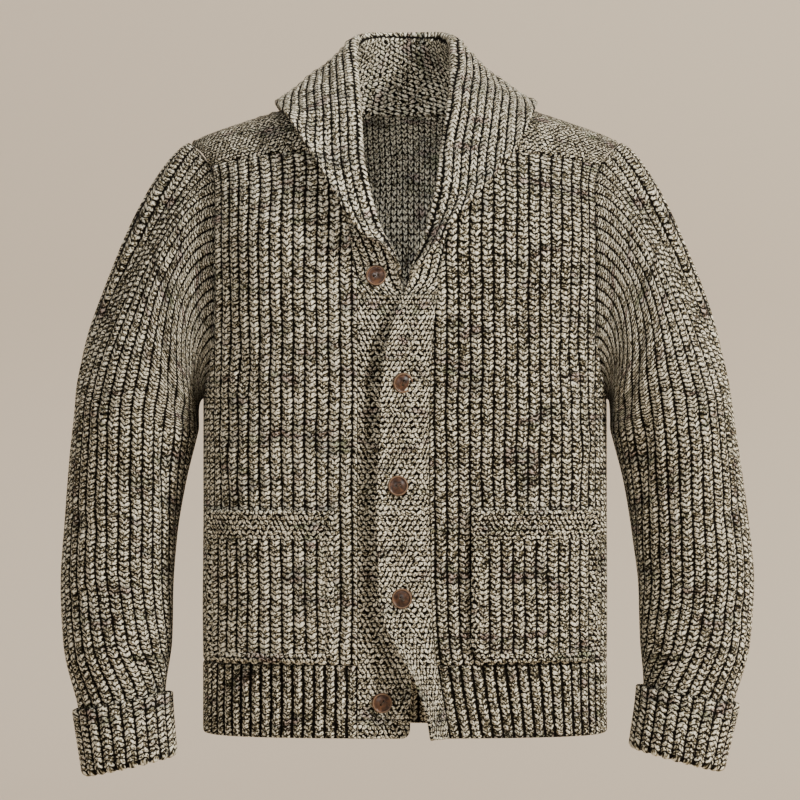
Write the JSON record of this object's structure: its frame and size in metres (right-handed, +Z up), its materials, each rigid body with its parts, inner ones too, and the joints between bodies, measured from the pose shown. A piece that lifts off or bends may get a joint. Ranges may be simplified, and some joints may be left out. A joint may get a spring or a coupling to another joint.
{
  "type": "shawl-collar cardigan",
  "caption": "Chunky ribbed-knit cardigan with a shawl collar, patch pockets and turned-back cuffs, filled out as worn.",
  "frame": {"origin": "on the garment's centre plane at the level of the back neck seam, inside the neck opening, where a wearer's shoulders and neck hold it", "axes": "+Z up from hem to collar, -Y out of the front, +X towards the wearer's left side (the viewer's right)"},
  "size_m": [0.7472, 0.2587, 0.8046],
  "materials": {
    "knit": "matt marled wool knit",
    "knit_light": "matt marled wool knit",
    "button_brown": "polished, horn-like"
  },
  "bodies": {
    "root": {"back": "knit", "right_front": "knit", "left_front": "knit", "hem_rib_back": "knit", "hem_rib_right": "knit", "hem_rib_left": "knit", "right_sleeve": "knit", "left_sleeve": "knit", "right_cuff": "knit", "left_cuff": "knit", "collar": "knit_light", "right_band": "knit_light", "left_band": "knit_light", "right_pocket": "knit", "left_pocket": "knit", "button_1": "button_brown", "button_2": "button_brown", "button_3": "button_brown", "button_4": "button_brown", "button_5": "button_brown"}
  },
  "joints": []
}
